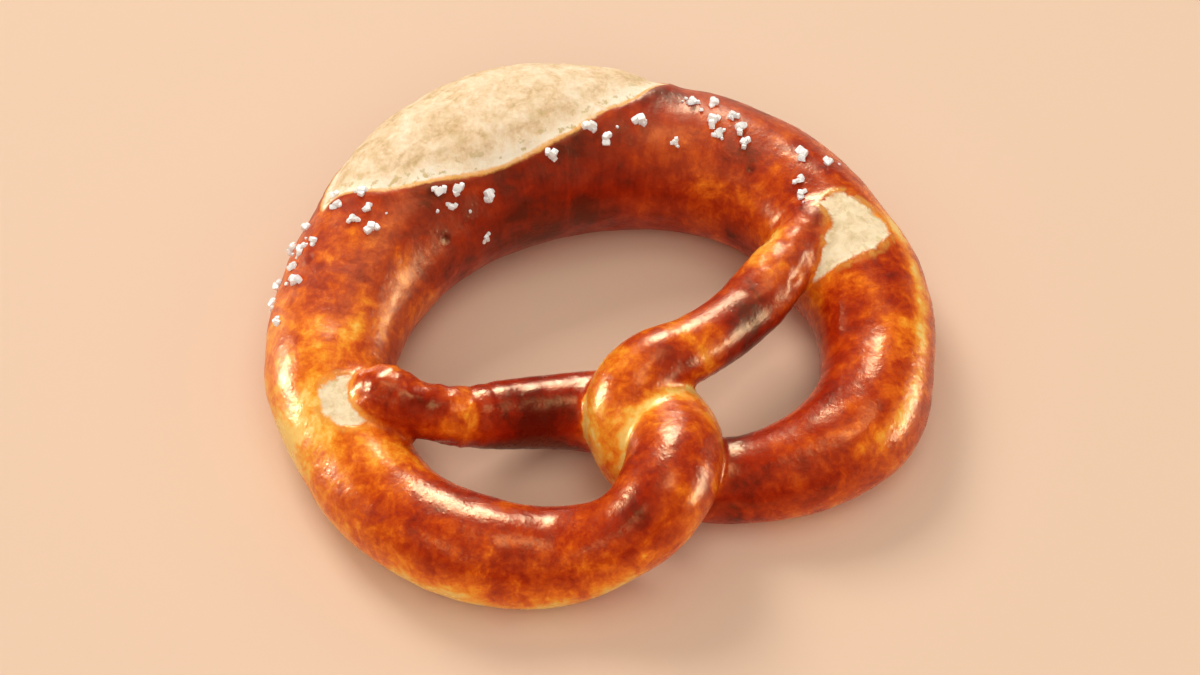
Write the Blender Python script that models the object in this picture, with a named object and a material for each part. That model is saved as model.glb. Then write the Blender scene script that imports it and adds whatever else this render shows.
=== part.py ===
# Soft pretzel with coarse salt.
# One rope of dough, fat at the belly and thin at the arms, is looped twice, twisted once and
# laid back on itself, and bakes into one body. Each grain of salt is a body of its own.
# Metres, +Z up. The origin is under the middle of the pretzel, on the plane it rests on.
# +X runs across the two loops and +Y points to the belly.

import math
import random

import bmesh
import bpy
import numpy as np
from mathutils import Matrix, Vector

MM = 0.001

# Driving dimensions, in millimetres and degrees
SECTION_HEIGHT = 0.96     # height of the rope's section over its width
REST_HEIGHT = 0.88        # height of the resting rope's centre over its half height
STEPS_PER_POINT = 16      # fine steps between two points of the rope
LINE_SPACING = 1.0        # distance between two points of the finished centre line
LINE_SOFTENING = 16       # passes that even out its bends
RING_SPACING = 3.6        # distance between two sections of the rope
RING_POINTS = 20          # points round one section
TIP_BLUNTNESS = 0.75      # length of an arm's rounded tip over its half width
TIP_RINGS = 3             # sections in a rounded tip
GRAIN_GAP = 0.3           # clear space between a grain and the crust
GRAIN_HEIGHT = 0.7        # height of a grain over its width
GRAIN_CUT = 0.12          # how far a grain's corners stray, over its width
GRAIN_SEED = 7
TRAY_SIZE = 240.0
TRAY_DEPTH = 40.0

# The rope's centre line: x, y, height and half width.
# A height of None means that the rope rests on the tray there.
ROPE = [
    (-55.8, -8.6, 23.5, 7.2),       # tip of the left arm, on the left loop
    (-51.0, -13.6, 22.5, 6.4),
    (-44.0, -17.5, 18.5, 7.0),
    (-26.5, -20.0, 13.0, 8.5),
    (-13.0, -23.0, 10.0, 9.5),
    (-3.0, -28.0, 9.0, 11.0),       # under the right arm
    (1.5, -36.5, 13.0, 11.5),       # the turn of the twist
    (-1.5, -50.0, 20.0, 11.0),
    (-9.5, -60.5, 22.0, 11.0),      # over the end of the right loop
    (-19.5, -63.0, 16.5, 10.0),
    (-33.5, -58.5, None, 11.5),     # the left loop
    (-50.5, -49.0, None, 12.5),
    (-62.5, -33.0, None, 12.5),
    (-66.5, -13.0, None, 13.0),
    (-64.5, 7.5, None, 15.0),
    (-54.5, 24.5, None, 16.5),
    (-40.5, 37.5, None, 18.5),
    (-22.5, 47.5, None, 21.5),
    (-2.5, 50.5, None, 23.0),       # the middle of the belly
    (17.5, 47.5, None, 21.5),
    (34.0, 40.0, None, 19.0),
    (48.5, 29.5, None, 18.0),
    (59.5, 14.5, None, 17.0),
    (63.5, -7.0, None, 16.5),       # the right loop
    (63.5, -25.0, None, 15.0),
    (57.0, -41.0, None, 13.5),
    (45.5, -54.5, None, 13.5),
    (28.5, -59.0, None, 12.0),
    (13.0, -56.0, None, 10.0),
    (2.0, -49.5, 9.0, 10.5),        # under the end of the left loop
    (-5.5, -40.5, 12.0, 11.0),
    (-5.0, -32.5, 19.0, 10.5),
    (2.0, -27.5, 23.0, 9.0),        # over the left arm
    (15.0, -26.0, 22.5, 8.0),
    (29.5, -20.5, 20.0, 8.0),
    (44.0, -13.5, 23.0, 7.5),
    (56.5, -6.3, 26.5, 4.6),        # tip of the right arm, on the right loop
]
BELLY_POINT = 18                    # the rope's point in the middle of the belly

# Salt: distance along the rope from the middle of the belly (plus is towards the right loop),
# angle round the section in degrees (0 faces out, 90 up, 180 into the ring) and grain width.
GRAINS = [
    (-61, 52, 3.0), (-57, 42, 2.4), (-53, 46, 3.0), (-51, 58, 2.6), (-44, 99, 3.0),
    (-44, 84, 2.4), (-40, 90, 2.6), (-41, 64, 2.8), (-36, 78, 2.6), (-38, 52, 2.4),
    (-25, 123, 3.2), (-20, 129, 3.0), (-25, 136, 2.2), (-12, 144, 3.4), (-19, 172, 2.0),
    (10, 134, 2.8), (22, 117, 3.2), (26, 123, 2.8), (36, 106, 3.4), (47, 118, 2.0),
    (49, 76, 2.8), (54, 70, 3.0), (59, 80, 2.8), (55, 92, 3.2), (62, 90, 3.0),
    (58, 103, 2.8), (65, 101, 3.2), (79, 80, 3.4), (83, 66, 2.8), (85, 101, 2.8),
    (88, 109, 2.4), (-64, 24, 2.8), (-58, 12, 2.6), (-50, 22, 3.2), (-46, 34, 2.6),
    (-70, 38, 2.4),
]


def clear_scene():
    for item in list(bpy.data.objects):
        bpy.data.objects.remove(item, do_unlink=True)


def plain_material(name, colour, roughness):
    material = bpy.data.materials.new(name)
    material.use_nodes = True
    shader = material.node_tree.nodes["Principled BSDF"]
    shader.inputs["Base Color"].default_value = (*colour, 1.0)
    shader.inputs["Roughness"].default_value = roughness
    shader.inputs["Metallic"].default_value = 0.0
    return material


def add_object(name, bm, material=None):
    mesh = bpy.data.meshes.new(name)
    bm.to_mesh(mesh)
    bm.free()
    item = bpy.data.objects.new(name, mesh)
    if material:
        mesh.materials.append(material)
    bpy.context.collection.objects.link(item)
    return item


def mix(start, end, fraction):
    return start + (end - start) * fraction


def smooth_between(a, b, c, d, fraction):
    # A point of the centripetal Catmull-Rom curve from b to c.
    t0 = 0.0
    t1 = t0 + math.sqrt(np.linalg.norm(b[:3] - a[:3]))
    t2 = t1 + math.sqrt(np.linalg.norm(c[:3] - b[:3]))
    t3 = t2 + math.sqrt(np.linalg.norm(d[:3] - c[:3]))
    t = mix(t1, t2, fraction)
    ab = mix(a, b, (t - t0) / (t1 - t0))
    bc = mix(b, c, (t - t1) / (t2 - t1))
    cd = mix(c, d, (t - t2) / (t3 - t2))
    abc = mix(ab, bc, (t - t0) / (t2 - t0))
    bcd = mix(bc, cd, (t - t1) / (t3 - t1))
    return mix(abc, bcd, (t - t1) / (t2 - t1))


def rope_line():
    # Close points of the rope (x, y, height, half width), and how far along the rope each one
    # is from the middle of the belly.
    points = []
    for x, y, height, half_width in ROPE:
        if height is None:
            height = REST_HEIGHT * SECTION_HEIGHT * half_width
        points.append(np.array((x, y, height, half_width)))
    points.insert(0, 2 * points[0] - points[1])
    points.append(2 * points[-1] - points[-2])
    line = []
    for i in range(1, len(points) - 2):
        for step in range(STEPS_PER_POINT):
            line.append(smooth_between(*points[i - 1:i + 3], step / STEPS_PER_POINT))
    line.append(points[-2])
    line = np.array(line)
    lengths = np.linalg.norm(np.diff(line[:, :3], axis=0), axis=1)
    rough_places = np.concatenate(([0.0], np.cumsum(lengths)))
    places = np.arange(0.0, rough_places[-1], LINE_SPACING)
    line = np.array([np.interp(places, rough_places, column) for column in line.T]).T
    for _ in range(LINE_SOFTENING):
        line[1:-1] = (line[:-2] + 2 * line[1:-1] + line[2:]) / 4
    return line, places - rough_places[BELLY_POINT * STEPS_PER_POINT]


def rope_at(line, places, place):
    # Centre, half width, and the forward, outward and upward directions at one place.
    here, ahead, behind = (
        np.array([np.interp(place + step, places, column) for column in line.T])
        for step in (0.0, 1.0, -1.0)
    )
    forward = Vector(ahead[:3] - behind[:3]).normalized()
    outward = forward.cross(Vector((0.0, 0.0, -1.0))).normalized()
    upward = forward.cross(outward)
    return Vector(here[:3]), here[3], forward, outward, upward


def rope_section(bm, line, places, place, turn):
    # One ring of points. The turn runs from 0 on the rope to a quarter at the tip's pole,
    # and is negative at the rope's start.
    centre, half_width, forward, outward, upward = rope_at(line, places, place)
    centre += forward * half_width * TIP_BLUNTNESS * math.sin(turn)
    half_width *= math.cos(turn)
    ring = []
    for i in range(RING_POINTS):
        angle = math.tau * i / RING_POINTS
        across = outward * math.cos(angle) + upward * SECTION_HEIGHT * math.sin(angle)
        ring.append(bm.verts.new((centre + across * half_width) * MM))
    return ring


def sweep_rope(line, places, material):
    # One closed skin from tip to tip.
    start, end = places[0], places[-1]
    quarter = math.pi / 2
    count = round((end - start) / RING_SPACING)
    stations = [(start, quarter * (i / (TIP_RINGS + 1) - 1)) for i in range(1, TIP_RINGS + 1)]
    stations += [(mix(start, end, i / count), 0.0) for i in range(count + 1)]
    stations += [(end, quarter * i / (TIP_RINGS + 1)) for i in range(1, TIP_RINGS + 1)]
    bm = bmesh.new()
    rings = [rope_section(bm, line, places, place, turn) for place, turn in stations]
    for first, second in zip(rings, rings[1:]):
        for i in range(RING_POINTS):
            j = (i + 1) % RING_POINTS
            bm.faces.new((first[i], first[j], second[j], second[i]))
    for place, ring, side in ((start, rings[0], -1.0), (end, rings[-1], 1.0)):
        centre, half_width, forward, outward, upward = rope_at(line, places, place)
        pole = bm.verts.new((centre + forward * half_width * TIP_BLUNTNESS * side) * MM)
        for i in range(RING_POINTS):
            bm.faces.new((pole, ring[i], ring[(i + 1) % RING_POINTS]))
    bmesh.ops.recalc_face_normals(bm, faces=bm.faces)
    pretzel = add_object("pretzel", bm, material)
    pretzel.data.shade_smooth()
    return pretzel


def flatten_underside(pretzel):
    # The tray cuts the resting stretches flat, and the strands that cross become one body.
    bm = bmesh.new()
    shape = Matrix.Diagonal((TRAY_SIZE * MM, TRAY_SIZE * MM, TRAY_DEPTH * MM, 1.0))
    bmesh.ops.create_cube(bm, size=1.0, matrix=shape)
    tray = add_object("tray_cutter", bm)
    tray.location.z = -TRAY_DEPTH * MM / 2
    tray.hide_render = True
    tray.display_type = "WIRE"
    cut = pretzel.modifiers.new("rest on tray", "BOOLEAN")
    cut.operation = "DIFFERENCE"
    cut.solver = "EXACT"
    cut.use_self = True
    cut.object = tray


def add_grain(number, line, places, material, chance):
    # A rough crystal whose underside is flat and lies just above the crust.
    place, degrees, width = GRAINS[number]
    angle = math.radians(degrees)
    centre, half_width, forward, outward, upward = rope_at(line, places, place)
    crust = outward * math.cos(angle) + upward * SECTION_HEIGHT * math.sin(angle)
    normal = (outward * math.cos(angle) * SECTION_HEIGHT + upward * math.sin(angle)).normalized()
    foot = centre + crust * half_width + normal * GRAIN_GAP
    bm = bmesh.new()
    bmesh.ops.create_icosphere(bm, subdivisions=1, radius=width / 2)
    spin = Matrix.Rotation(chance.uniform(0.0, math.tau), 3, "Z")
    floor = -width * GRAIN_HEIGHT / 2
    for vert in bm.verts:
        stray = [chance.uniform(-GRAIN_CUT, GRAIN_CUT) * width for axis in range(3)]
        vert.co = spin @ (vert.co + Vector(stray))
        vert.co.z = max(vert.co.z, floor) - floor
    turn = normal.to_track_quat("Z", "Y").to_matrix()
    for vert in bm.verts:
        vert.co = (foot + turn @ vert.co) * MM
    return add_object(f"salt_{number + 1:02d}", bm, material)


def main():
    clear_scene()
    crust = plain_material("baked crust", (0.36, 0.09, 0.02), 0.32)
    salt = plain_material("coarse salt", (0.90, 0.87, 0.80), 0.45)
    line, places = rope_line()
    pretzel = sweep_rope(line, places, crust)
    flatten_underside(pretzel)
    chance = random.Random(GRAIN_SEED)
    for number in range(len(GRAINS)):
        add_grain(number, line, places, salt, chance)


main()
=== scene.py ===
import math
import random

import bpy
import numpy as np
from mathutils import Matrix, Vector
from mathutils.bvhtree import BVHTree


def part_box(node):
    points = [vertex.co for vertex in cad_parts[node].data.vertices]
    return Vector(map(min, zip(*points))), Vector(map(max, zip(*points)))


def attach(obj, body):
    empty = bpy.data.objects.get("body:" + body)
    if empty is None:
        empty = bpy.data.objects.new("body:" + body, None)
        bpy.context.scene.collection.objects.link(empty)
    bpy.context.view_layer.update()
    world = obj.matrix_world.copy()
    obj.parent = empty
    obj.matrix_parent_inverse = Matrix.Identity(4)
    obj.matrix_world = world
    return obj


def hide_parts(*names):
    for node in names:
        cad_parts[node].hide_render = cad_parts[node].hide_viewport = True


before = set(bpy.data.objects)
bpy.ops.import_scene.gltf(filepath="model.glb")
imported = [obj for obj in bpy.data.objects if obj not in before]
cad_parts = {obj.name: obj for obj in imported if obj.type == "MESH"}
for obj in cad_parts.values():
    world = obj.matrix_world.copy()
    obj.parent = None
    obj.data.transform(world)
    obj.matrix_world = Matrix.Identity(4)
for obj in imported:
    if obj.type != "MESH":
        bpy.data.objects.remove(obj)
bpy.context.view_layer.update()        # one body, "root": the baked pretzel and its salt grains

mm = 0.001

# The pretzel, as the baker rolls it: one rope, given in millimetres along its centre line.
pretzelSettings = dict(
    route=[                         # x, y, height (None where it rests on the tray), half width
        (-55.8, -8.6, 23.5, 7.2),       # tip of the left arm, on the left loop
        (-51.0, -13.6, 22.5, 6.4),
        (-44.0, -17.5, 18.5, 7.0),
        (-26.5, -20.0, 13.0, 8.5),
        (-13.0, -23.0, 10.0, 9.5),
        (-3.0, -28.0, 9.0, 11.0),       # under the right arm
        (1.5, -36.5, 13.0, 11.5),       # the turn of the twist
        (-1.5, -50.0, 20.0, 11.0),
        (-9.5, -60.5, 22.0, 11.0),      # over the end of the right loop
        (-19.5, -63.0, 16.5, 10.0),
        (-33.5, -58.5, None, 11.5),     # the left loop
        (-50.5, -49.0, None, 12.5),
        (-62.5, -33.0, None, 12.5),
        (-66.5, -13.0, None, 13.0),
        (-64.5, 7.5, None, 15.0),
        (-54.5, 24.5, None, 16.5),
        (-40.5, 37.5, None, 18.5),
        (-22.5, 47.5, None, 21.5),
        (-2.5, 50.5, None, 23.0),       # the middle of the belly
        (17.5, 47.5, None, 21.5),
        (34.0, 40.0, None, 19.0),
        (48.5, 29.5, None, 18.0),
        (59.5, 14.5, None, 17.0),
        (63.5, -7.0, None, 16.5),       # the right loop
        (63.5, -25.0, None, 15.0),
        (57.0, -41.0, None, 13.5),
        (45.5, -54.5, None, 13.5),
        (28.5, -59.0, None, 12.0),
        (13.0, -56.0, None, 10.0),
        (2.0, -49.5, 9.0, 10.5),        # under the end of the left loop
        (-5.5, -40.5, 12.0, 11.0),
        (-5.0, -32.5, 19.0, 10.5),
        (2.0, -27.5, 23.0, 9.0),        # over the left arm
        (15.0, -26.0, 22.5, 8.0),
        (29.5, -20.5, 20.0, 8.0),
        (44.0, -13.5, 23.0, 7.5),
        (56.5, -6.3, 26.5, 4.6),        # tip of the right arm, on the right loop
    ],
    bellyPoint=18,
    sectionHeight=0.96,             # height of the rope over its width
    restHeight=0.88,                # height of the resting rope's centre over its half height
    stepsPerPoint=16,
    softening=16,                   # passes that even out the bends
    ringPoints=24,
    voxel=1.7,                      # first skin; it is halved once
    fuse=1.8,                       # how widely strands that touch bake together
    tipFuse=3.0,                    # and how much more so at the tips of the arms
    trayRound=3.0,                  # rounding where the crust meets the tray
    strandApart=30.0,               # along the rope, past which two places are two strands
    tipZone=(266, 16),              # where the tips' wider joint starts, and over how much it grows
    ringReach=150,                  # how far from the belly the rope is still the outer ring
)


def smoothBetween(a, b, c, d, fraction):     # centripetal Catmull-Rom, from b to c
    t0 = 0.0
    t1 = t0 + math.sqrt(np.linalg.norm(b[:3] - a[:3]))
    t2 = t1 + math.sqrt(np.linalg.norm(c[:3] - b[:3]))
    t3 = t2 + math.sqrt(np.linalg.norm(d[:3] - c[:3]))
    t = t1 + (t2 - t1) * fraction
    ab = a + (b - a) * (t - t0) / (t1 - t0)
    bc = b + (c - b) * (t - t1) / (t2 - t1)
    cd = c + (d - c) * (t - t2) / (t3 - t2)
    abc = ab + (bc - ab) * (t - t0) / (t2 - t0)
    bcd = bc + (cd - bc) * (t - t1) / (t3 - t1)
    return abc + (bcd - abc) * (t - t1) / (t2 - t1)


def ropeLine(settings):
    points = []
    for x, y, height, halfWidth in settings["route"]:
        if height is None:
            height = settings["restHeight"] * settings["sectionHeight"] * halfWidth
        points.append(np.array((x, y, height, halfWidth)))
    points.insert(0, 2 * points[0] - points[1])
    points.append(2 * points[-1] - points[-2])
    steps = settings["stepsPerPoint"]
    line = []
    for i in range(1, len(points) - 2):
        line += [smoothBetween(*points[i - 1:i + 3], step / steps) for step in range(steps)]
    line = np.array(line + [points[-2]])
    lengths = np.linalg.norm(np.diff(line[:, :3], axis=0), axis=1)
    roughPlaces = np.concatenate(([0.0], np.cumsum(lengths)))
    places = np.arange(0.0, roughPlaces[-1], 1.0)
    line = np.array([np.interp(places, roughPlaces, column) for column in line.T]).T
    for _ in range(settings["softening"]):
        line[1:-1] = (line[:-2] + 2 * line[1:-1] + line[2:]) / 4
    forward = np.gradient(line[:, :3], axis=0)
    forward /= np.linalg.norm(forward, axis=1)[:, None]
    outward = np.cross(forward, (0.0, 0.0, -1.0))
    outward /= np.linalg.norm(outward, axis=1)[:, None]
    upward = np.cross(forward, outward)
    # columns: centre 0-2, half width 3, forward 4-6, outward 7-9, upward 10-12
    table = np.hstack((line, forward, outward, upward))
    return table, places - roughPlaces[settings["bellyPoint"] * steps]


rope, ropePlaces = ropeLine(pretzelSettings)
print("rope", round(float(ropePlaces[-1] - ropePlaces[0])), "mm long")


def cubicRows(table, index):                 # Catmull-Rom between evenly spaced rows
    index = np.clip(index, 0.0, len(table) - 1.0)
    low = np.floor(index).astype(int)
    t = (index - low)[:, None]
    last = len(table) - 1
    a, b, c, d = (table[np.clip(low + step, 0, last)] for step in (-1, 0, 1, 2))
    return b + 0.5 * t * (c - a + t * (2 * a - 5 * b + 4 * c - d + t * (3 * (b - c) + d - a)))


def strandReach(points, rows):               # signed distance to the rope's skin at those rows
    height = pretzelSettings["sectionHeight"]
    offset = points - rows[..., 0:3]
    along = (offset * rows[..., 4:7]).sum(-1)
    across = (offset * rows[..., 7:10]).sum(-1)
    above = (offset * rows[..., 10:13]).sum(-1)
    reach = np.sqrt(along ** 2 + across ** 2 + (above / height) ** 2)
    return reach, along, across, above


def nearestStrand(points, awayFrom=None):
    # index along the rope, signed distance, outward gradient and angle round the section
    step = 2
    coarse = rope[::step]
    best = np.empty(len(points))
    for start in range(0, len(points), 4000):
        part = slice(start, start + 4000)
        reach = strandReach(points[part, None, :], coarse[None])[0] - coarse[None, :, 3]
        if awayFrom is not None:
            gap = np.abs(np.arange(len(coarse))[None] * step - awayFrom[part, None])
            reach = np.where(gap < pretzelSettings["strandApart"], 1e3, reach)
        low = reach.argmin(axis=1)
        mid = np.clip(low, 1, len(coarse) - 2)
        pick = np.arange(len(low))
        before, here, after = (reach[pick, mid + side] for side in (-1, 0, 1))
        bend = before - 2 * here + after
        shift = np.where(np.abs(bend) > 1e-9, 0.5 * (before - after) / np.where(bend == 0, 1, bend), 0)
        shift = np.where((low == mid) & (before < 900) & (after < 900), np.clip(shift, -1, 1), 0)
        best[part] = (np.where(low == mid, mid + shift, low)) * step
    for _ in range(2):                       # settle the place: no offset left along the rope
        rows = cubicRows(rope, best)
        along = ((points - rows[:, 0:3]) * rows[:, 4:7]).sum(-1)
        best = np.clip(best + np.clip(along, -1.0, 1.0) * 0.7, 0, len(rope) - 1)
    rows = cubicRows(rope, best)
    reach, along, across, above = strandReach(points, rows)
    gradient = (rows[:, 4:7] * along[:, None] + rows[:, 7:10] * across[:, None]
                + rows[:, 10:13] * above[:, None] / pretzelSettings["sectionHeight"] ** 2)
    gradient /= np.maximum(reach, 1e-6)[:, None]
    angle = np.degrees(np.arctan2(above, across))
    return best, reach - rows[:, 3], gradient, angle


def blendLow(first, firstSlope, second, secondSlope, width):
    share = np.clip(0.5 + 0.5 * (second - first) / width, 0, 1)
    low = second + (first - second) * share - width * share * (1 - share)
    slope = secondSlope + (firstSlope - secondSlope) * share[:, None]
    return low, slope


def crustField(points):
    place, own, ownSlope, angle = nearestStrand(points)
    otherPlace, other, otherSlope, otherAngle = nearestStrand(points, place)
    reach = np.maximum(np.abs(place + ropePlaces[0]), np.abs(otherPlace + ropePlaces[0]))
    tipStart, tipGrowth = pretzelSettings["tipZone"]
    atTip = np.clip((reach - tipStart) / tipGrowth, 0, 1)
    fuse = pretzelSettings["fuse"] + pretzelSettings["tipFuse"] * atTip
    skin, slope = blendLow(own, ownSlope, other, otherSlope, fuse)
    up = np.tile((0.0, 0.0, 1.0), (len(points), 1))
    inside, insideSlope = blendLow(-skin, -slope, points[:, 2], up, pretzelSettings["trayRound"])
    facts = dict(place=place, angle=angle, own=own, otherPlace=otherPlace, other=other,
                 otherAngle=otherAngle)
    return -inside, -insideSlope, facts


def settleOnCrust(points, rounds):
    for _ in range(rounds):
        distance, slope = crustField(points)[:2]
        steep = np.maximum((slope ** 2).sum(axis=1), 0.2)
        points = points - slope * np.clip(distance / steep, -2.0, 2.0)[:, None]
    return points


def treeInput(tree, name, kind, value):
    socket = tree.interface.new_socket(name, in_out="INPUT", socket_type=kind)
    if value is not None:
        socket.default_value = value
    return socket


def addNode(tree, kind, values=None, **settings):
    made = tree.nodes.new(kind)
    for key, value in settings.items():
        setattr(made, key, value)
    for key, value in (values or {}).items():
        if isinstance(value, bpy.types.NodeSocket):
            tree.links.new(value, made.inputs[key])
        else:
            made.inputs[key].default_value = value
    return made


def runTree(base, tree, values, name):       # the tree's result as a plain mesh object
    modifier = base.modifiers.new(tree.name, "NODES")
    modifier.node_group = tree
    for item in tree.interface.items_tree:
        if item.item_type == "SOCKET" and item.in_out == "INPUT" and item.name in values:
            modifier[item.identifier] = values[item.name]
    depsgraph = bpy.context.evaluated_depsgraph_get()
    mesh = bpy.data.meshes.new_from_object(base.evaluated_get(depsgraph))
    base.modifiers.clear()
    made = bpy.data.objects.new(name, mesh)
    bpy.context.collection.objects.link(made)
    bpy.data.objects.remove(base, do_unlink=True)
    return made


def bakedMesh(item, *modifiers):             # applies the modifiers added by the given functions
    for addModifier in modifiers:
        addModifier(item)
    depsgraph = bpy.context.evaluated_depsgraph_get()
    mesh = bpy.data.meshes.new_from_object(item.evaluated_get(depsgraph))
    item.modifiers.clear()
    item.data = mesh
    return item


# Rope skin: a tree sweeps the section along the centre line.
def ropeTree(material):
    tree = bpy.data.node_groups.new("rope sweep", "GeometryNodeTree")
    treeInput(tree, "Geometry", "NodeSocketGeometry", None)
    treeInput(tree, "Section height", "NodeSocketFloat", 1.0)
    treeInput(tree, "Ring points", "NodeSocketInt", 16)
    tree.interface.new_socket("Geometry", in_out="OUTPUT", socket_type="NodeSocketGeometry")
    given = addNode(tree, "NodeGroupInput").outputs
    line = addNode(tree, "GeometryNodeMeshToCurve", {"Mesh": given["Geometry"]})
    upright = addNode(tree, "GeometryNodeSetCurveNormal", {"Curve": line.outputs["Curve"]})
    if "Mode" in upright.inputs:
        upright.inputs["Mode"].default_value = "Z Up"
    else:
        upright.mode = "Z_UP"
    width = addNode(tree, "GeometryNodeInputNamedAttribute", {"Name": "halfWidth"}, data_type="FLOAT")
    sized = addNode(tree, "GeometryNodeSetCurveRadius",
                    {"Curve": upright.outputs["Curve"], "Radius": width.outputs["Attribute"]})
    ring = addNode(tree, "GeometryNodeCurvePrimitiveCircle",
                   {"Resolution": given["Ring points"], "Radius": 1.0})
    shape = addNode(tree, "ShaderNodeCombineXYZ",
                    {"X": 1.0, "Y": given["Section height"], "Z": 1.0})
    section = addNode(tree, "GeometryNodeTransform",
                      {"Geometry": ring.outputs["Curve"], "Scale": shape.outputs["Vector"]})
    skin = addNode(tree, "GeometryNodeCurveToMesh",
                   {"Curve": sized.outputs["Curve"], "Profile Curve": section.outputs["Geometry"],
                    "Fill Caps": True})
    if "Scale" in skin.inputs:
        tree.links.new(width.outputs["Attribute"], skin.inputs["Scale"])
    real = addNode(tree, "GeometryNodeRealizeInstances", {"Geometry": skin.outputs["Mesh"]})
    done = addNode(tree, "GeometryNodeSetMaterial",
                   {"Geometry": real.outputs["Geometry"], "Material": material})
    out = addNode(tree, "NodeGroupOutput")
    tree.links.new(done.outputs["Geometry"], out.inputs["Geometry"])
    return tree


def makeRoughPretzel(material):
    mesh = bpy.data.meshes.new("rope line")
    shares = np.array((0.30, 0.55, 0.75, 0.90, 0.98))      # both tips end in a rounded cap
    caps = []
    for row, way in ((rope[0], -1), (rope[-1], 1)):
        spots = row[:3] + way * row[4:7] * (shares * row[3])[:, None]
        caps.append(np.hstack((spots, (row[3] * np.sqrt(1 - shares ** 2))[:, None])))
    line = np.vstack((caps[0][::-1], rope[:, :4], caps[1]))
    mesh.from_pydata(line[:, :3].tolist(), [(i, i + 1) for i in range(len(line) - 1)], [])
    width = mesh.attributes.new("halfWidth", "FLOAT", "POINT")
    width.data.foreach_set("value", line[:, 3].astype(np.float32))
    base = bpy.data.objects.new("rope line", mesh)
    bpy.context.collection.objects.link(base)
    values = {"Section height": pretzelSettings["sectionHeight"],
              "Ring points": pretzelSettings["ringPoints"]}
    rough = runTree(base, ropeTree(material), values, "baked_pretzel")

    def remesh(item):
        modifier = item.modifiers.new("one skin", "REMESH")
        modifier.mode = "VOXEL"
        modifier.voxel_size = pretzelSettings["voxel"]
    return bakedMesh(rough, remesh)


def meshPoints(mesh):
    points = np.empty(len(mesh.vertices) * 3, dtype=np.float32)
    mesh.vertices.foreach_get("co", points)
    return points.reshape(-1, 3).astype(np.float64)


# Where the crust is torn or pale: outlines by distance along the rope from the middle of the
# belly (millimetres) and angle round the section (degrees: 0 faces out, 90 up, 180 into the ring).
tearSettings = dict(
    outline=[(-42, 50), (-38, 56), (-35, 74), (-31, 96), (-24, 113), (-15, 127), (-6, 134),
             (4, 132), (13, 124), (19, 116), (25, 104), (32, 88), (37, 70), (42, 50), (39, 34),
             (31, 20), (19, 11), (4, 7), (-10, 9), (-22, 16), (-32, 27), (-39, 40)],
    radius=20.0,                    # of the rope there, which turns degrees into millimetres
    lip=0.30,                       # the crust's edge stands this proud
    sink=0.28,                      # the crumb lies this low along the edge
    crown=0.5,                      # and rises this much in its middle
    crumb=0.32,                     # roughness of the crumb
)
paleSettings = dict(
    left=[(-89, 78), (-87.5, 95), (-88.5, 112), (-94, 122), (-100, 116), (-102, 96), (-99, 78),
          (-94, 70)],
    right=[(93, 78), (98, 64), (104, 56), (107.5, 66), (109.5, 90), (109.5, 120), (109, 146),
           (105, 156), (100, 150), (96, 120), (93, 98)],
    radius=14.0,
)
bakeSettings = dict(                # place on the rope, and browning from 0 (gold) to 1 (mahogany)
    stations=[(-292, 0.50), (-284, 0.62), (-278, 0.58), (-270, 0.38), (-264, 0.70), (-256, 0.84),
              (-248, 0.82), (-240, 0.74), (-234, 0.52), (-229, 0.22), (-222, 0.20), (-212, 0.18),
              (-205, 0.36), (-196, 0.50), (-184, 0.58), (-172, 0.60), (-158, 0.56), (-140, 0.54),
              (-122, 0.50), (-104, 0.36), (-92, 0.22), (-80, 0.36), (-64, 0.46), (-48, 0.54),
              (-32, 0.68), (-12, 0.78), (12, 0.80), (34, 0.76), (56, 0.66), (76, 0.58), (90, 0.50),
              (104, 0.44), (116, 0.50), (132, 0.54), (150, 0.58), (170, 0.66), (186, 0.74),
              (198, 0.62), (208, 0.34), (218, 0.22), (226, 0.30), (234, 0.40), (244, 0.50),
              (252, 0.72), (262, 0.62), (270, 0.44), (278, 0.44), (286, 0.58)],
    goldenAndSheen=[(-92, 8, 22, 24, 0.17), (-125, -28, 45, 26, 0.27), (-165, -25, 34, 28, 0.24),
            # (134, 44) is a pale strip along the right loop's outer side: partly paler crust, partly a
            # painted reflection of the bright floor
            (134, 44, 36, 11, 0.48), (168, -28, 26, 20, 0.12), (-181, 80, 9, 24, -0.22),
            (-150, 100, 14, 26, -0.12), (-120, 60, 8, 20, -0.12), (-66, 118, 9, 10, 0.26),
            (-56, 140, 12, 9, 0.16), (60, 150, 14, 12, 0.16),
            (278, 52, 12, 28, 0.30), (276, 132, 16, 20, -0.22), (-281, 110, 4.6, 26, -0.34),
            (-290, 90, 4, 70, 0.10), (-272, 95, 3.5, 50, 0.24)],  # place, angle, widths, gain
    seam=(186, 236, 0.32),          # the strands' joint in the twist stays pale
    darkSide=125.0,                 # degrees round the section that brown most
    darkSideGain=0.09,
    trayGain=0.25,                  # how much less the crust browns at the tray
    armUnderShadeGain=0.30,              # and how much darker the underside of the arms is painted: partly browning, partly painted shade
    # how much darker the pits are painted: painted shade in the hollows
    pitShadeGain=0.35,
)
reliefSettings = dict(
    lumps=[(26.0, 0.45), (11.0, 0.17)],         # size and height of the dough's own unevenness
    skin=[(4.2, 0.055), (1.9, 0.035)],
    pits=[(-55, 60, 1.5), (-57, 74, 1.3), (50, 84, 1.3), (92, 116, 1.4), (94, 106, 1.3),
          (97, 98, 1.4), (-30, 150, 1.6), (70, 120, 1.6)],
    pitDepth=0.45,
    pitRadius=17.0,                 # of the rope at the pits, which turns degrees into millimetres
    creases=[(-268, 2.0, 0.55), (-263.5, 1.6, 0.30), (-281, 2.2, 0.35), (262, 1.8, 0.25)],
    tipLumps=(3.6, 0.34, 0.12),     # size and height of the lumps at the tips, and how low they sit
)


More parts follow.
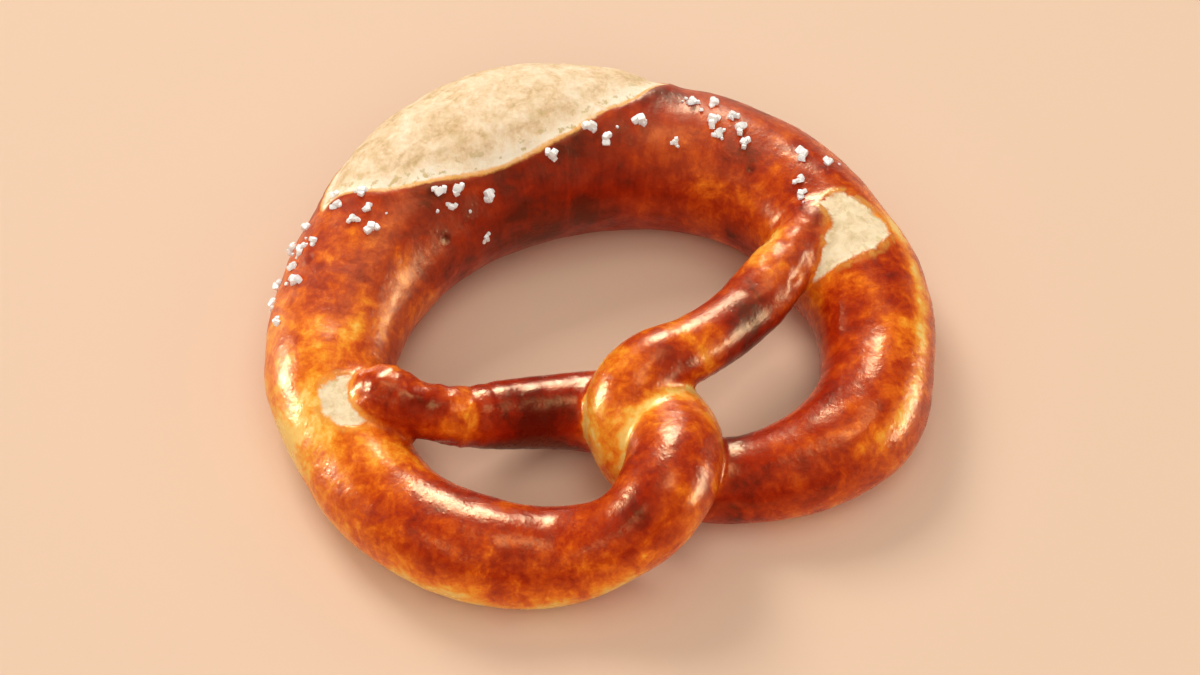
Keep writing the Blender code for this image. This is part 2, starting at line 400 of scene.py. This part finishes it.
def smoothOutline(outline, radius, steps=6):
    ring = np.array([(place, math.radians(degrees) * radius) for place, degrees in outline])
    count = len(ring)
    curve = []
    for i in range(count):
        a, b, c, d = (ring[(i + side) % count] for side in (-1, 0, 1, 2))
        for step in range(steps):
            t = step / steps
            curve.append(b + 0.5 * t * (c - a + t * (2 * a - 5 * b + 4 * c - d
                                                     + t * (3 * (b - c) + d - a))))
    return np.array(curve)


def insideOutline(places, angles, outline, radius, far=12.0):   # plus inside, in millimetres
    curve = smoothOutline(outline, radius)
    spots = np.stack((places, np.radians(angles) * radius), axis=1)
    low, high = curve.min(0) - far, curve.max(0) + far
    near = ((spots > low) & (spots < high)).all(axis=1)
    result = np.full(len(spots), -far)
    start, end = curve, np.roll(curve, -1, axis=0)
    edge = end - start
    offset = spots[near][:, None] - start[None]
    share = np.clip((offset * edge).sum(-1) / (edge ** 2).sum(-1), 0, 1)
    gap = np.linalg.norm(offset - edge * share[..., None], axis=-1).min(axis=1)
    x, y = spots[near, 0][:, None], spots[near, 1][:, None]
    spans = (start[:, 1] > y) != (end[:, 1] > y)
    rise = np.where(edge[:, 1] == 0, 1e-9, edge[:, 1])
    crossing = start[:, 0] + (y - start[:, 1]) * edge[:, 0] / rise
    within = (spans & (x < crossing)).sum(axis=1) % 2 == 1
    result[near] = np.clip(np.where(within, gap, -gap), -far, far)
    return result


def rippled(points, size, octaves=2, seed=0):      # gradient noise, about -1 to 1
    # the large whole numbers below only scramble a cell's place, so that its slope looks random
    slopes = np.random.RandomState(seed + 40).normal(size=(256, 3))
    slopes /= np.linalg.norm(slopes, axis=1)[:, None]
    total, weight, spots = np.zeros(len(points)), 1.0, points / size
    for _ in range(octaves):
        cell = np.floor(spots).astype(np.int64)
        offset = spots - cell
        fade = offset ** 3 * (offset * (6 * offset - 15) + 10)
        for corner in range(8):
            side = np.array([corner & 1, corner >> 1 & 1, corner >> 2])
            key = ((cell + side) * np.array([73856093, 19349663, 83492791])).T
            slope = slopes[(key[0] ^ key[1] ^ key[2]) % 251]
            share = np.where(side, fade, 1 - fade).prod(axis=1)
            total += 1.9 * weight * share * (slope * (offset - side)).sum(axis=1)
        spots, weight = spots * 2.1 + 7.7, weight * 0.5
    return total


def eased(value, low, high):
    share = np.clip((value - low) / (high - low), 0, 1)
    return share * share * (3 - 2 * share)


def bump(value, width):
    return np.exp(-(value / width) ** 2)


def finishPretzel(item):
    addSubdivision(item)
    mesh = item.data
    points = settleOnCrust(meshPoints(mesh), 3)
    slope, facts = crustField(points)[1:]
    normal = slope / np.linalg.norm(slope, axis=1)[:, None]
    place = facts["place"] + ropePlaces[0]
    otherPlace = facts["otherPlace"] + ropePlaces[0]
    angle = facts["angle"]
    touch = facts["other"] - facts["own"]           # small where two strands meet
    # the ring's own place, angle and depth, also under the ends of the arms
    ringFirst = np.abs(place) < pretzelSettings["ringReach"]
    ringPlace = np.where(ringFirst, place, otherPlace)
    ringAngle = np.where(ringFirst, angle, facts["otherAngle"])
    ringDepth = np.where(ringFirst, facts["own"], facts["other"])
    radius = tearSettings["radius"]
    tear = insideOutline(ringPlace, ringAngle, tearSettings["outline"], radius)
    tear = np.where(ringFirst, tear, -12.0)
    pale = np.full(len(points), -12.0)
    for side in ("left", "right"):
        patch = insideOutline(ringPlace, ringAngle, paleSettings[side], paleSettings["radius"])
        pale = np.maximum(pale, np.minimum(patch, 2.0 - 2.0 * np.abs(ringDepth)))
    upward = eased(points[:, 2], 1.0, 7.0)          # nothing moves where the crust meets the tray

    # relief, in millimetres along the normal
    lift = sum(height * rippled(points, size, 2, seed) for seed, (size, height)
               in enumerate(reliefSettings["lumps"]))
    crust = 1 - eased(tear, -0.4, 0.4)
    skin = sum(height * rippled(points, size, 2, seed + 5) for seed, (size, height)
               in enumerate(reliefSettings["skin"]))
    lift += skin * (0.4 + 0.6 * crust)
    wander = tear + 0.5 * rippled(points, 5.0, 2, 3)
    lift += tearSettings["lip"] * bump(wander + 1.2, 1.6) * crust
    lift -= tearSettings["sink"] * eased(wander, 0.1, 1.2) * (1 - eased(wander, 2.0, 9.0))
    lift += tearSettings["crown"] * eased(wander, 3.0, 11.0)
    crumb = 0.6 * rippled(points, 6.0, 3, 9) + 0.4 * rippled(points, 2.6, 3, 11)
    lift += tearSettings["crumb"] * crumb * eased(wander, 0.5, 4.0)
    lift -= 0.25 * eased(pale, -0.3, 0.8) - 0.15 * bump(pale + 0.6, 0.8)
    pitRadius = reliefSettings["pitRadius"]
    for pitPlace, pitAngle, width in reliefSettings["pits"]:
        away = np.hypot(ringPlace - pitPlace, np.radians(ringAngle - pitAngle) * pitRadius)
        away = np.where(ringFirst, away, 99.0)
        depth = reliefSettings["pitDepth"]
        lift -= depth * bump(away, width * 0.5) - 0.4 * depth * bump(away - width * 0.8, width * 0.3)
    for creasePlace, width, depth in reliefSettings["creases"]:
        ragged = place - creasePlace + 0.9 * rippled(points, 7.0, 2, 13)
        lift -= depth * bump(ragged, width) * (0.7 + 0.3 * np.cos(np.radians(angle - 60)))
    inTip = eased(np.abs(place), 262, 272)
    lumpSize, lumpHeight, lumpSink = reliefSettings["tipLumps"]
    lift += inTip * (lumpHeight * rippled(points, lumpSize, 2, 15) - lumpSink)
    lift *= upward * eased(touch, 0.2, 3.0)
    points = points + normal * lift[:, None]
    points[:, 2] = np.maximum(points[:, 2], 0.0)

    stations = np.array(bakeSettings["stations"]).T
    baked = np.interp(place, stations[0], stations[1])
    baked += bakeSettings["darkSideGain"] * np.cos(np.radians(angle - bakeSettings["darkSide"]))
    otherBaked = np.interp(otherPlace, stations[0], stations[1])
    baked += (otherBaked - baked) * (0.5 - 0.5 * eased(touch, 0.0, 3.0))
    baked -= bakeSettings["trayGain"] * (1 - eased(points[:, 2], 0.5, 5.0))
    # lighter and darker places on the crust; the one on the right loop's outer side is partly a
    # painted reflection
    for tonePlace, toneAngle, length, width, gain in bakeSettings["goldenAndSheen"]:
        baked -= gain * bump(place - tonePlace, length) * bump(angle - toneAngle, width)
    # the arms' downward-facing crust is painted darker: painted shade under the arms, over some real
    # browning
    inArm = eased(np.abs(place), 236, 246)
    baked += bakeSettings["armUnderShadeGain"] * inArm * eased(-normal[:, 2], -0.35, 0.45)
    # painted shade: the crust in each pit is darkened, standing in for the shadow in the hollow
    for pitPlace, pitAngle, width in reliefSettings["pits"]:
        away = np.hypot(ringPlace - pitPlace, np.radians(ringAngle - pitAngle) * pitRadius)
        baked += bakeSettings["pitShadeGain"] * bump(away, width)
    start, end, gain = bakeSettings["seam"]
    inTwist = eased(np.abs(place), start, start + 12) * (1 - eased(np.abs(place), end - 8, end))
    inTwist *= eased(np.abs(otherPlace), start, start + 12)
    baked -= gain * inTwist * bump(np.maximum(touch, 0), 2.6)
    mesh.vertices.foreach_set("co", (points * mm).astype(np.float32).ravel())
    for name, values in (("baked", baked), ("tear", tear), ("pale", pale), ("ropePlace", place),
                         ("ropeOut", np.cos(np.radians(angle))),
                         ("ropeUp", np.sin(np.radians(angle)))):
        layer = mesh.attributes.new(name, "FLOAT", "POINT")
        layer.data.foreach_set("value", values.astype(np.float32))
    mesh.shade_smooth()
    mesh.update()
    return points


def addSubdivision(item):
    modifier = item.modifiers.new("halve the skin", "SUBSURF")
    modifier.subdivision_type = "SIMPLE"
    modifier.levels = modifier.render_levels = 1
    bakedMesh(item)


crustMaterial = bpy.data.materials.new("baked crust")
pretzel = makeRoughPretzel(crustMaterial)
pretzel.data.vertices.foreach_set(
    "co", settleOnCrust(meshPoints(pretzel.data), 5).astype(np.float32).ravel())
pretzel.data.update()
crustPoints = finishPretzel(pretzel)
pretzel.data.materials.clear()
pretzel.data.materials.append(crustMaterial)
print("pretzel", len(pretzel.data.polygons), "faces")


# Materials. Each is built from small pieces of node tree that read Object coordinates or the
# pretzel's own attributes.
def startMaterial(material):
    material.use_nodes = True
    tree = material.node_tree
    tree.nodes.clear()
    shader = addNode(tree, "ShaderNodeBsdfPrincipled")
    addNode(tree, "ShaderNodeOutputMaterial", {"Surface": shader.outputs["BSDF"]})
    place = addNode(tree, "ShaderNodeTexCoord").outputs["Object"]
    return tree, shader, place


def noiseAt(tree, place, size, detail=3.0, rough=0.55, warp=0.0):    # size in millimetres
    made = addNode(tree, "ShaderNodeTexNoise", {"Vector": place, "Scale": 1 / (size * mm),
                                                "Detail": detail, "Roughness": rough,
                                                "Distortion": warp})
    return made.outputs["Fac"]


def fieldOf(tree, name):
    return addNode(tree, "ShaderNodeAttribute", attribute_name=name).outputs["Fac"]


def maths(tree, operation, first, second=0.0, third=0.0):
    return addNode(tree, "ShaderNodeMath", {0: first, 1: second, 2: third},
                   operation=operation).outputs[0]


def weighed(tree, value, gain, start):       # value * gain + start
    return maths(tree, "MULTIPLY_ADD", value, gain, start)


def ranged(tree, value, low, high, toLow=0.0, toHigh=1.0):
    made = addNode(tree, "ShaderNodeMapRange",
                   {"Value": value, "From Min": low, "From Max": high, "To Min": toLow,
                    "To Max": toHigh}, interpolation_type="SMOOTHSTEP")
    return made.outputs["Result"]


def rampOf(tree, value, stops):              # stops: (position, (r, g, b)) in linear light
    made = addNode(tree, "ShaderNodeValToRGB", {"Fac": value})
    ramp = made.color_ramp
    while len(ramp.elements) < len(stops):
        ramp.elements.new(0.5)
    for element, (position, colour) in zip(ramp.elements, stops):
        element.position = position
        element.color = (*colour, 1.0)
    return made.outputs["Color"]


def mixColours(tree, share, first, second):
    made = addNode(tree, "ShaderNodeMix", {"Factor": share}, data_type="RGBA", blend_type="MIX")
    for slot, value in ((6, first), (7, second)):
        if isinstance(value, bpy.types.NodeSocket):
            tree.links.new(value, made.inputs[slot])
        else:
            made.inputs[slot].default_value = (*value, 1.0)
    return made.outputs[2]


def mixValues(tree, share, first, second):
    return addNode(tree, "ShaderNodeMix", {"Factor": share, 2: first, 3: second}).outputs[0]


crustLook = dict(
    browning=[(0.00, (0.96, 0.60, 0.150)), (0.09, (0.96, 0.46, 0.060)), (0.20, (0.93, 0.30, 0.018)),
              (0.34, (0.80, 0.150, 0.007)), (0.50, (0.58, 0.062, 0.003)),
              (0.66, (0.41, 0.023, 0.002)), (0.82, (0.28, 0.009, 0.0012)),
              (1.00, (0.12, 0.003, 0.0008))],
    crumb=[(0.18, (0.60, 0.38, 0.18)), (0.38, (0.81, 0.57, 0.33)), (0.56, (0.91, 0.71, 0.47)),
           (0.76, (0.97, 0.83, 0.62))],
    paleSkin=[(0.25, (0.66, 0.47, 0.25)), (0.55, (0.88, 0.70, 0.44)), (0.80, (0.95, 0.82, 0.58))],
    speck=(0.56, 0.38, 0.13),
    edgeGold=(0.82, 0.36, 0.06),
    streakGain=0.30,                # strength of the stretch marks
    roughness=0.24,
    crumbRoughness=0.85,
)


def paintCrust(material, look):
    tree, shader, place = startMaterial(material)
    broad = noiseAt(tree, place, 18.0, 2.0, 0.5, 0.4)
    patchy = noiseAt(tree, place, 9.0, 4.0, 0.6, 0.8)
    mottled = noiseAt(tree, place, 3.2, 4.0, 0.62, 0.6)
    fine = noiseAt(tree, place, 1.1, 3.0, 0.6)
    baked = weighed(tree, broad, 0.80, -0.42)
    baked = maths(tree, "ADD", baked, fieldOf(tree, "baked"))
    alongRope = addNode(tree, "ShaderNodeCombineXYZ",        # stretch marks run round the rope
                        {"X": weighed(tree, fieldOf(tree, "ropePlace"), 0.30, 0.0),
                         "Y": fieldOf(tree, "ropeOut"), "Z": fieldOf(tree, "ropeUp")})
    streaks = addNode(tree, "ShaderNodeTexNoise",
                      {"Vector": alongRope.outputs["Vector"], "Scale": 1.0, "Detail": 4.0,
                       "Roughness": 0.62, "Distortion": 0.5}).outputs["Fac"]
    gain = look["streakGain"]
    baked = maths(tree, "ADD", baked, weighed(tree, streaks, gain, -gain / 2))
    ripples = maths(tree, "ADD", weighed(tree, patchy, 0.85, -0.425),
                    weighed(tree, mottled, 0.66, -0.33))
    ripples = maths(tree, "ADD", ripples, weighed(tree, fine, 0.26, -0.13))
    calm = ranged(tree, fieldOf(tree, "baked"), 0.60, 0.90, 1.0, 0.50)
    baked = maths(tree, "ADD", baked, maths(tree, "MULTIPLY", ripples, calm))
    crust = rampOf(tree, baked, look["browning"])

    # the torn belly and the pale places beside the arms' tips
    ragged = weighed(tree, mottled, 1.6, -0.8)
    tear = maths(tree, "ADD", fieldOf(tree, "tear"), ragged)
    torn = ranged(tree, tear, -0.25, 0.35)
    crumbTone = maths(tree, "ADD", weighed(tree, patchy, 0.85, -0.02),
                      weighed(tree, mottled, 0.6, -0.30))
    crumbTone = maths(tree, "ADD", crumbTone, weighed(tree, fine, 0.45, -0.225))
    border = ranged(tree, tear, 1.0, 6.5, 0.30, 0.0)
    crumb = rampOf(tree, maths(tree, "ADD", crumbTone, border), look["crumb"])
    specks = maths(tree, "MULTIPLY", ranged(tree, noiseAt(tree, place, 2.2, 3.0), 0.55, 0.66),
                   ranged(tree, tear, 0.5, 9.0, 0.80, 0.20))
    crumb = mixColours(tree, specks, crumb, look["speck"])
    gold = ranged(tree, maths(tree, "ABSOLUTE", weighed(tree, tear, 1.0, -0.25)), 0.15, 0.9, 0.85, 0.0)
    gold = maths(tree, "MULTIPLY", gold, ranged(tree, patchy, 0.35, 0.52, 0.45, 1.0))
    pale = maths(tree, "ADD", fieldOf(tree, "pale"), weighed(tree, mottled, 3.6, -1.8))
    bare = ranged(tree, pale, -0.3, 0.7)
    rim = ranged(tree, maths(tree, "ABSOLUTE", weighed(tree, pale, 1.0, 0.7)), 0.2, 1.8, 0.8, 0.0)
    rim = maths(tree, "MULTIPLY", rim, ranged(tree, patchy, 0.40, 0.60, 0.1, 0.9))
    paleSkin = rampOf(tree, weighed(tree, mottled, 0.9, 0.05), look["paleSkin"])
    paleSkin = mixColours(tree, maths(tree, "MULTIPLY", specks, 0.45), paleSkin, look["speck"])
    colour = mixColours(tree, rim, crust, look["edgeGold"])
    colour = mixColours(tree, bare, colour, paleSkin)
    colour = mixColours(tree, torn, colour, crumb)
    colour = mixColours(tree, gold, colour, look["edgeGold"])
    tree.links.new(colour, shader.inputs["Base Color"])

    dull = maths(tree, "MAXIMUM", torn, maths(tree, "MULTIPLY", bare, 0.7))
    gloss = weighed(tree, patchy, 0.36, look["roughness"] - 0.16)
    gloss = maths(tree, "ADD", gloss, weighed(tree, fine, 0.10, -0.05))
    along = fieldOf(tree, "ropePlace")
    arms = ranged(tree, along, 234, 262, 0.0, 0.10)
    belly = ranged(tree, maths(tree, "ABSOLUTE", along), 60, 95, 0.12, 0.0)
    gloss = maths(tree, "ADD", gloss, maths(tree, "ADD", arms, belly))
    tree.links.new(mixValues(tree, dull, gloss, look["crumbRoughness"]), shader.inputs["Roughness"])

    wrinkles = noiseAt(tree, place, 1.5, 4.0, 0.6)
    coarse = noiseAt(tree, place, 0.8, 4.0, 0.7)
    height = mixValues(tree, dull, maths(tree, "MULTIPLY", wrinkles, 0.6),
                       maths(tree, "MULTIPLY", coarse, 1.3))
    cells = addNode(tree, "ShaderNodeTexVoronoi", {"Vector": place, "Scale": 1 / (1.5 * mm)},
                    feature="SMOOTH_F1").outputs["Distance"]
    blisters = maths(tree, "MULTIPLY", ranged(tree, cells, 0.05, 0.40, 0.30, 0.0),
                     ranged(tree, patchy, 0.42, 0.62))
    height = maths(tree, "ADD", height, blisters)
    relief = addNode(tree, "ShaderNodeBump", {"Height": height, "Strength": 0.45,
                                              "Distance": 0.35 * mm})
    tree.links.new(relief.outputs["Normal"], shader.inputs["Normal"])
    shader.inputs["IOR"].default_value = 1.48
    shader.inputs["Subsurface Weight"].default_value = 0.12
    shader.inputs["Subsurface Radius"].default_value = (1.0, 0.35, 0.10)
    shader.inputs["Subsurface Scale"].default_value = 1.6 * mm
    shader.inputs["Specular Tint"].default_value = (1.0, 0.66, 0.27, 1.0)


paintCrust(crustMaterial, crustLook)

# Coarse salt: each CAD grain becomes a cluster of broken crystals, sunk a little into the crust.
saltSettings = dict(
    seed=11,
    sink=0.28,                      # depth in the crust over the grain's width
    shares=(0.70, 0.62, 0.52),      # each broken crystal's width over the grain's
    lumpTurn=2.2,                   # angle from one crystal of a grain to the next
    spread=0.42,                    # how far they lie from the middle, over the width
    crystalCuts=3,
    cornerRound=0.45,
    crumbs=34,                      # specks of salt dust near the grains
)


def saltTree(material):
    tree = bpy.data.node_groups.new("salt crystals", "GeometryNodeTree")
    treeInput(tree, "Geometry", "NodeSocketGeometry", None)
    treeInput(tree, "Corner round", "NodeSocketFloat", 0.4)
    treeInput(tree, "Seed", "NodeSocketInt", 1)
    tree.interface.new_socket("Geometry", in_out="OUTPUT", socket_type="NodeSocketGeometry")
    given = addNode(tree, "NodeGroupInput").outputs
    cuts = saltSettings["crystalCuts"]
    block = addNode(tree, "GeometryNodeMeshCube",
                    {"Size": (1.0, 1.0, 1.0), "Vertices X": cuts, "Vertices Y": cuts,
                     "Vertices Z": cuts})
    spot = addNode(tree, "GeometryNodeInputPosition").outputs["Position"]
    ball = addNode(tree, "ShaderNodeVectorMath", {0: spot}, operation="NORMALIZE")
    small = addNode(tree, "ShaderNodeVectorMath", {0: ball.outputs["Vector"], 3: 0.62},
                    operation="SCALE")
    rounded = addNode(tree, "ShaderNodeMix", {"Factor": given["Corner round"], 4: spot,
                                              5: small.outputs["Vector"]}, data_type="VECTOR")
    crystal = addNode(tree, "GeometryNodeSetPosition",
                      {"Geometry": block.outputs["Mesh"], "Position": rounded.outputs[1]})
    turn = addNode(tree, "FunctionNodeRandomValue",
                   {"Max": (math.tau, math.tau, math.tau), "Seed": given["Seed"]},
                   data_type="FLOAT_VECTOR")
    stretch = addNode(tree, "FunctionNodeRandomValue",
                      {"Min": (0.8, 0.7, 0.6), "Max": (1.15, 1.0, 0.95), "Seed": given["Seed"]},
                      data_type="FLOAT_VECTOR")
    width = addNode(tree, "GeometryNodeInputNamedAttribute", {"Name": "width"}, data_type="FLOAT")
    size = addNode(tree, "ShaderNodeVectorMath",
                   {0: stretch.outputs["Value"], 3: width.outputs["Attribute"]}, operation="SCALE")
    grains = addNode(tree, "GeometryNodeInstanceOnPoints",
                     {"Points": given["Geometry"], "Instance": crystal.outputs["Geometry"],
                      "Rotation": turn.outputs["Value"], "Scale": size.outputs["Vector"]})
    real = addNode(tree, "GeometryNodeRealizeInstances", {"Geometry": grains.outputs["Instances"]})
    done = addNode(tree, "GeometryNodeSetMaterial",
                   {"Geometry": real.outputs["Geometry"], "Material": material})
    out = addNode(tree, "NodeGroupOutput")
    tree.links.new(done.outputs["Geometry"], out.inputs["Geometry"])
    return tree


def makeSalt(settings, material):
    chance = random.Random(settings["seed"])
    skin = BVHTree.FromPolygons([tuple(point) for point in crustPoints],
                                [tuple(face.vertices) for face in pretzel.data.polygons])
    spots, widths = [], []
    names = sorted(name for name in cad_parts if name.startswith("salt_"))
    for name in names:
        low, high = (Vector(corner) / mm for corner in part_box(name))
        width = max(high - low)
        spot, facing = skin.find_nearest((low + high) / 2)[:2]
        side = facing.orthogonal().normalized()
        first = chance.uniform(0, math.tau)
        for lump, share in enumerate(settings["shares"]):
            turned = Matrix.Rotation(first + lump * settings["lumpTurn"], 3, facing) @ side
            away = 0.0 if lump == 0 else settings["spread"] * chance.uniform(0.7, 1.2)
            height = width * (share * 0.5 - settings["sink"] * 0.8)
            spots.append((spot + turned * width * away + facing * height) * mm)
            widths.append(width * share * mm)
    for _ in range(settings["crumbs"]):
        low, high = (Vector(corner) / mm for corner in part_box(chance.choice(names)))
        near = (low + high) / 2 + Vector([chance.gauss(0, 2.8) for _ in range(3)])
        spot, facing = skin.find_nearest(near)[:2]
        width = chance.uniform(0.5, 0.95)
        spots.append((spot + facing * width * 0.2) * mm)
        widths.append(width * mm)
    mesh = bpy.data.meshes.new("salt points")
    mesh.from_pydata([tuple(spot) for spot in spots], [], [])
    layer = mesh.attributes.new("width", "FLOAT", "POINT")
    layer.data.foreach_set("value", widths)
    base = bpy.data.objects.new("salt points", mesh)
    bpy.context.collection.objects.link(base)
    values = {"Corner round": settings["cornerRound"], "Seed": settings["seed"]}
    salt = runTree(base, saltTree(material), values, "coarse_salt")
    return salt, names


saltMaterial = bpy.data.materials.new("coarse salt")
salt, saltNames = makeSalt(saltSettings, saltMaterial)
print("salt", len(salt.data.polygons), "faces")


def paintSalt(material):
    tree, shader, place = startMaterial(material)
    cloudy = noiseAt(tree, place, 1.2, 3.0)
    tree.links.new(rampOf(tree, cloudy, [(0.3, (0.93, 0.85, 0.74)), (0.6, (0.99, 0.94, 0.86))]),
                   shader.inputs["Base Color"])
    grit = noiseAt(tree, place, 0.35, 3.0, 0.7)
    relief = addNode(tree, "ShaderNodeBump", {"Height": grit, "Strength": 0.6,
                                              "Distance": 0.15 * mm})
    tree.links.new(relief.outputs["Normal"], shader.inputs["Normal"])
    tree.links.new(ranged(tree, grit, 0.3, 0.7, 0.30, 0.6), shader.inputs["Roughness"])
    shader.inputs["Subsurface Weight"].default_value = 0.35
    shader.inputs["Subsurface Radius"].default_value = (1.0, 0.95, 0.85)
    shader.inputs["Subsurface Scale"].default_value = 0.8 * mm


paintSalt(saltMaterial)
print("materials painted")

# Studio: pale floor, soft boxes and the camera.
studioSettings = dict(
    floorSize=12.0,
    floorColour=(0.777, 0.540, 0.370),
    worldColour=(1.0, 0.97, 0.94),
    worldStrength=0.48,
    softBoxes=[                      # name, azimuth, elevation, width, height, radiance, use
        ("key", -172, 44, 1.00, 1.00, 10.6, "diffuse"),
        ("front fill", -25, 50, 2.00, 2.00, 1.4, "diffuse"),
        ("top box", 60, 78, 1.30, 1.30, 1.8, "both"),
        ("back shine", 155, 34, 0.75, 1.10, 39.0, "glossy"),
        ("left shine", -128, 12, 0.50, 0.90, 80.0, "glossy"),
        ("top shine", 60, 76, 0.70, 0.70, 6.0, "glossy"),
        ("front shine", -68, 46, 0.30, 0.30, 17.0, "glossy"),
        ("right shine", 66, 8, 1.80, 0.45, 34.0, "glossy"),
    ],
    boxDistance=2.5,
    cameraAzimuth=-25.0,
    cameraElevation=51.0,
    cameraDistance=0.6174,
    cameraTarget=(0.0042, 0.0028, 0.0),
    lens=75.0,
)


def directionTo(azimuth, elevation):         # azimuth 0 looks along +Y
    turn, rise = math.radians(azimuth), math.radians(elevation)
    return Vector((math.sin(turn) * math.cos(rise), -math.cos(turn) * math.cos(rise),
                   math.sin(rise)))


def aim(item, spot, target):
    item.location = spot
    item.rotation_euler = (target - spot).to_track_quat("-Z", "Y").to_euler()


def makeStudio(settings):
    half = settings["floorSize"] / 2
    mesh = bpy.data.meshes.new("floor")
    mesh.from_pydata([(-half, -half, 0), (half, -half, 0), (half, half, 0), (-half, half, 0)],
                     [], [(0, 1, 2, 3)])
    floor = bpy.data.objects.new("floor", mesh)
    bpy.context.collection.objects.link(floor)
    paper = bpy.data.materials.new("pale paper")
    shader = startMaterial(paper)[1]
    shader.inputs["Base Color"].default_value = (*settings["floorColour"], 1.0)
    shader.inputs["Roughness"].default_value = 0.9
    shader.inputs["Specular IOR Level"].default_value = 0.1
    mesh.materials.append(paper)
    world = bpy.data.worlds.new("studio")
    world.use_nodes = True
    background = world.node_tree.nodes["Background"]
    background.inputs["Color"].default_value = (*settings["worldColour"], 1.0)
    background.inputs["Strength"].default_value = settings["worldStrength"]
    world.cycles_visibility.glossy = False       # only the soft boxes show in the crust's shine
    bpy.context.scene.world = world
    centre = Vector((0.0, 0.0, 0.015))
    for name, azimuth, elevation, width, height, radiance, use in settings["softBoxes"]:
        light = bpy.data.lights.new(name, "AREA")
        light.shape = "RECTANGLE"
        light.size, light.size_y = width, height
        light.energy = radiance * width * height * math.pi
        lamp = bpy.data.objects.new(name, light)
        bpy.context.collection.objects.link(lamp)
        lamp.visible_glossy = use != "diffuse"
        lamp.visible_diffuse = use != "glossy"
        aim(lamp, centre + directionTo(azimuth, elevation) * settings["boxDistance"], centre)
    camera = bpy.data.objects.new("camera", bpy.data.cameras.new("camera"))
    bpy.context.collection.objects.link(camera)
    camera.data.lens = settings["lens"]
    camera.data.sensor_width = 36.0
    camera.data.clip_start = 0.01
    target = Vector(settings["cameraTarget"])
    back = directionTo(settings["cameraAzimuth"], settings["cameraElevation"])
    aim(camera, target + back * settings["cameraDistance"], target)
    bpy.context.scene.camera = camera
    bpy.context.scene.view_settings.view_transform = "Standard"


makeStudio(studioSettings)
print("studio lit by", len(studioSettings["softBoxes"]), "soft boxes")

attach(pretzel, "root")
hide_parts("pretzel")
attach(salt, "root")
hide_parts(*saltNames)
